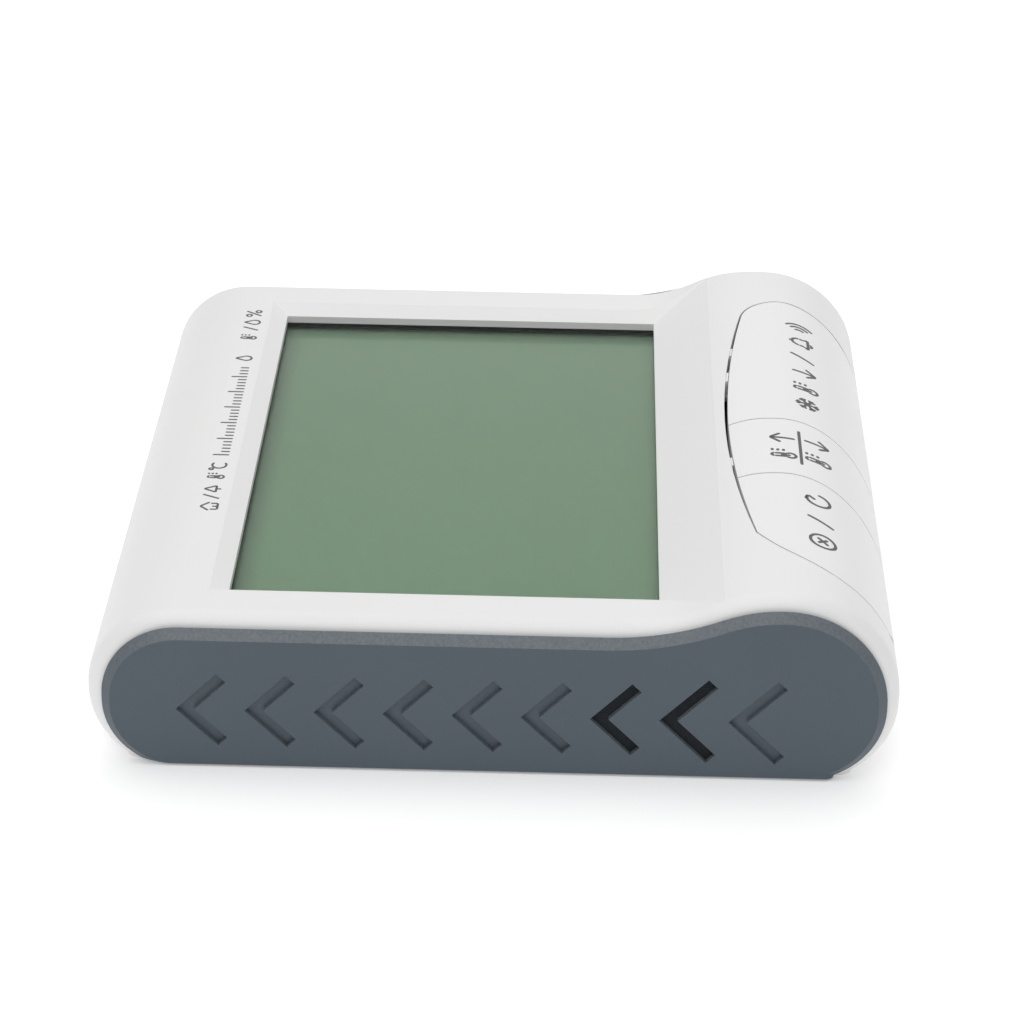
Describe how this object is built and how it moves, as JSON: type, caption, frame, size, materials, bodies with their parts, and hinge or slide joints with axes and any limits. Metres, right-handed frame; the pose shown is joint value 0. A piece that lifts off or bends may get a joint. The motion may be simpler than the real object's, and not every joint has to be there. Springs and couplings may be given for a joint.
{
  "type": "maximum minimum thermometer",
  "caption": "Digital maximum and minimum thermometer and hygrometer with a large display, a hump with three keys, arrow-vented side panels, a fold-out stand and a sliding battery door.",
  "frame": {"origin": "under the middle of the body, on the plane that its flat back rests on", "axes": "+X across the face from the left side panel to the right one, +Y up the face to its top end, +Z out of the face"},
  "size_m": [0.102, 0.0986, 0.0241],
  "materials": {
    "white_shell": "fine satin moulded ABS",
    "panel_grey": "fine matt moulded ABS",
    "key_white": "fine satin moulded ABS",
    "clear_lens": "polished acrylic",
    "lcd_glass": "reflective display behind a polariser",
    "black_foam": "closed cell foam",
    "frame_white": "plain moulded ABS",
    "elastomer": "layered conductive rubber",
    "board_green": "solder mask",
    "epoxy_black": "poured epoxy",
    "part_brown": "ceramic parts",
    "tin": "tinned metal",
    "sensor_white": "slotted sensor cover",
    "buzzer_black": "moulded case",
    "key_rubber": "silicone rubber",
    "cell_wrap": "plain printed sleeve, no marks",
    "steel": "zinc plated steel",
    "socket_black": "moulded socket",
    "lead_red": "PVC insulation",
    "lead_black": "PVC insulation"
  },
  "bodies": {
    "casing": {"front_case": "white_shell", "rear_case": "white_shell", "left_side_panel": "panel_grey", "right_side_panel": "panel_grey", "window_lens": "clear_lens", "lens_gasket": "black_foam", "lcd_panel": "lcd_glass", "lcd_frame": "frame_white", "contact_strip": "elastomer", "main_board": "board_green", "controller_cap": "epoxy_black", "board_parts": "part_brown", "crystal": "tin", "humidity_sensor": "sensor_white", "indoor_thermistor": "epoxy_black", "probe_socket": "socket_black", "alarm_buzzer": "buzzer_black", "key_sheet": "key_rubber", "clear_dome": "key_rubber", "max_min_dome": "key_rubber", "alert_dome": "key_rubber", "battery_cell": "cell_wrap", "negative_spring": "steel", "positive_contact": "steel", "stand_pin": "steel", "units_switch": "buzzer_black", "battery_lead_red": "lead_red", "battery_lead_black": "lead_black", "probe_lead": "lead_black", "case_screws": "steel", "board_screws": "steel"},
    "clear_key": {"clear_key": "key_white"},
    "max_min_key": {"max_min_key": "key_white"},
    "alert_key": {"alert_key": "key_white"},
    "stand": {"stand_leg": "white_shell"},
    "battery_door": {"battery_door": "white_shell"},
    "units_knob": {"units_knob": "buzzer_black"}
  },
  "joints": [
    {"name": "clear_press", "type": "slide", "parent": "casing", "child": "clear_key", "axis": [0, 0, -1], "range_m": [0, 0.0006], "stiffness_N_per_m": 1200, "springref_m": -0.0002, "deforming": ["clear_dome"]},
    {"name": "max_min_press", "type": "slide", "parent": "casing", "child": "max_min_key", "axis": [0, 0, -1], "range_m": [0, 0.0006], "stiffness_N_per_m": 1200, "springref_m": -0.0002, "deforming": ["max_min_dome"]},
    {"name": "alert_press", "type": "slide", "parent": "casing", "child": "alert_key", "axis": [0, 0, -1], "range_m": [0, 0.0006], "stiffness_N_per_m": 1200, "springref_m": -0.0002, "deforming": ["alert_dome"]},
    {"name": "stand_fold", "type": "hinge", "parent": "casing", "child": "stand", "pos_m": [0, -0.0245, 0.002], "axis": [-1, 0, 0], "range_deg": [0, 103]},
    {"name": "door_slide", "type": "slide", "parent": "casing", "child": "battery_door", "axis": [0, 1, 0], "range_m": [0, 0.019]},
    {"name": "units_slide", "type": "slide", "parent": "casing", "child": "units_knob", "axis": [1, 0, 0], "range_m": [0, 0.002]}
  ]
}
